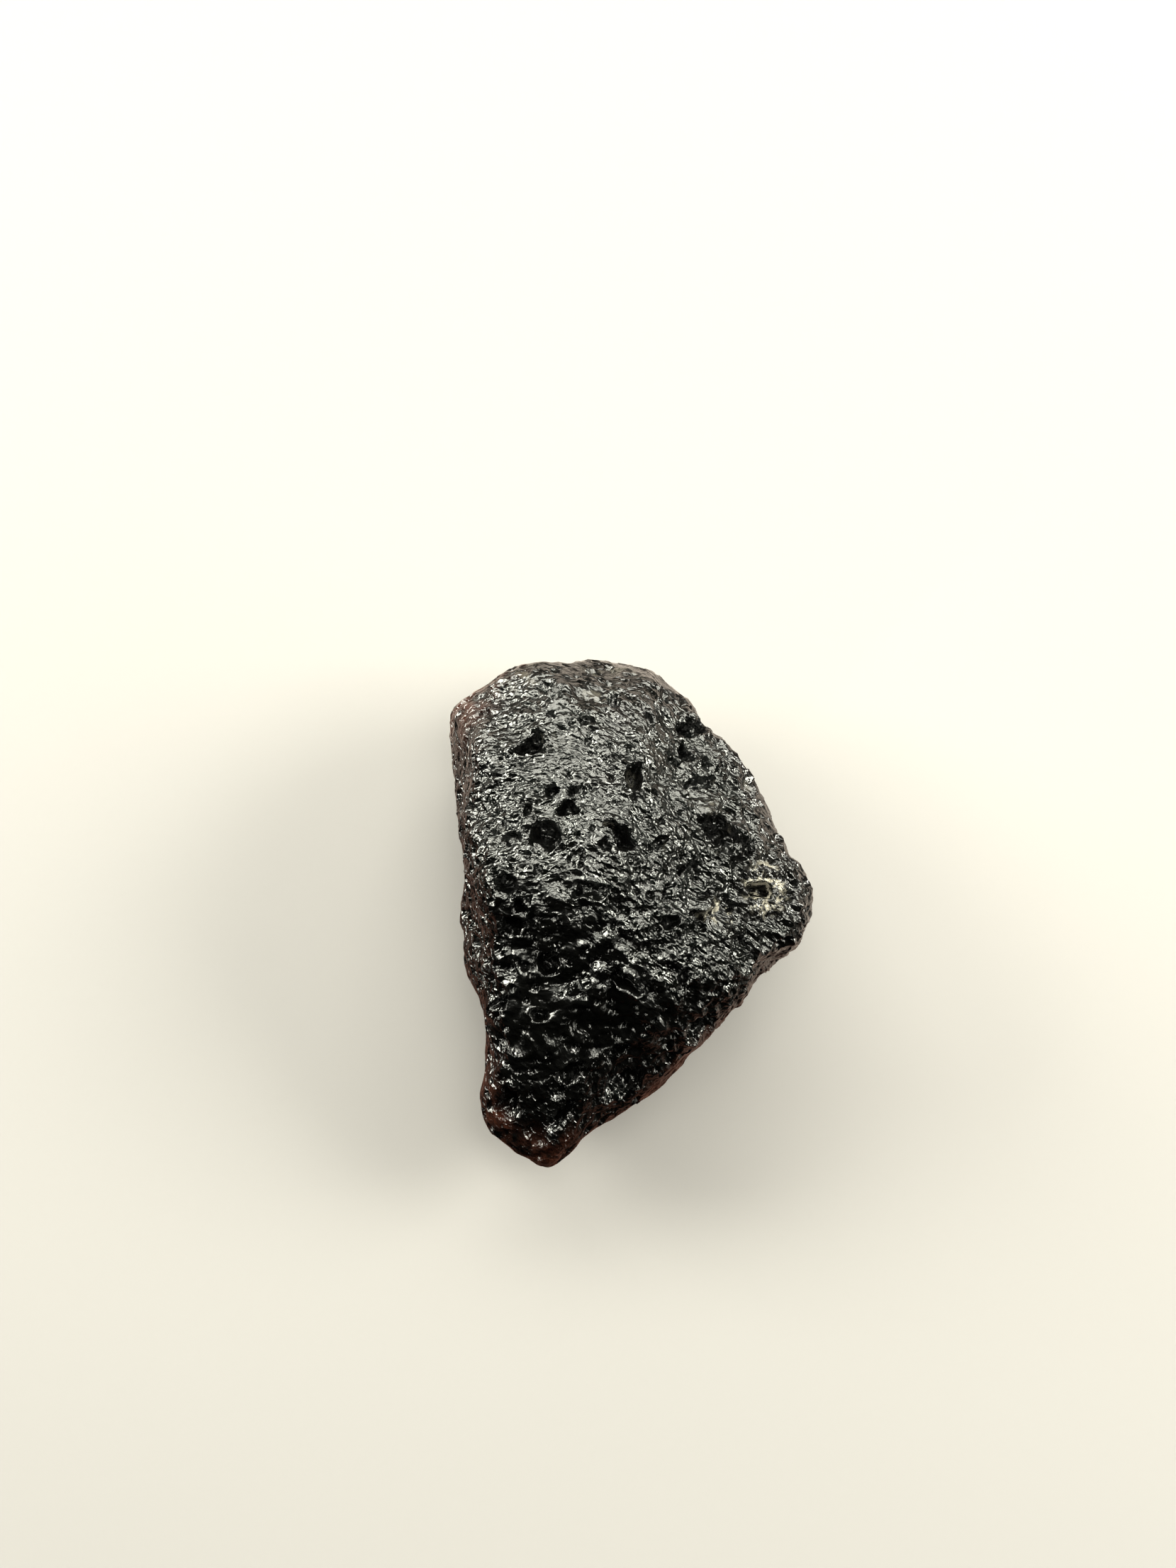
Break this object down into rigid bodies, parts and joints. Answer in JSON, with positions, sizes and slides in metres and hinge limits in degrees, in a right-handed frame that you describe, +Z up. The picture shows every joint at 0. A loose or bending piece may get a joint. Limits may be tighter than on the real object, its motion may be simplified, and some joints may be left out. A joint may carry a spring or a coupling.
{
  "type": "tektite",
  "caption": "Small solid black natural glass stone with a pitted glossy skin, one blunt end, one narrow tip and a knob on its right flank.",
  "frame": {"origin": "on the flat resting spot under the middle of the stone, at the surface it lies on", "axes": "+Y towards the broad blunt end and -Y towards the narrow tip, +X towards the knob on the right flank, +Z up, away from the surface it lies on"},
  "size_m": [0.0091, 0.0128, 0.007],
  "materials": {
    "black_glass": "gloss"
  },
  "bodies": {
    "root": {"tektite": "black_glass"}
  },
  "joints": []
}
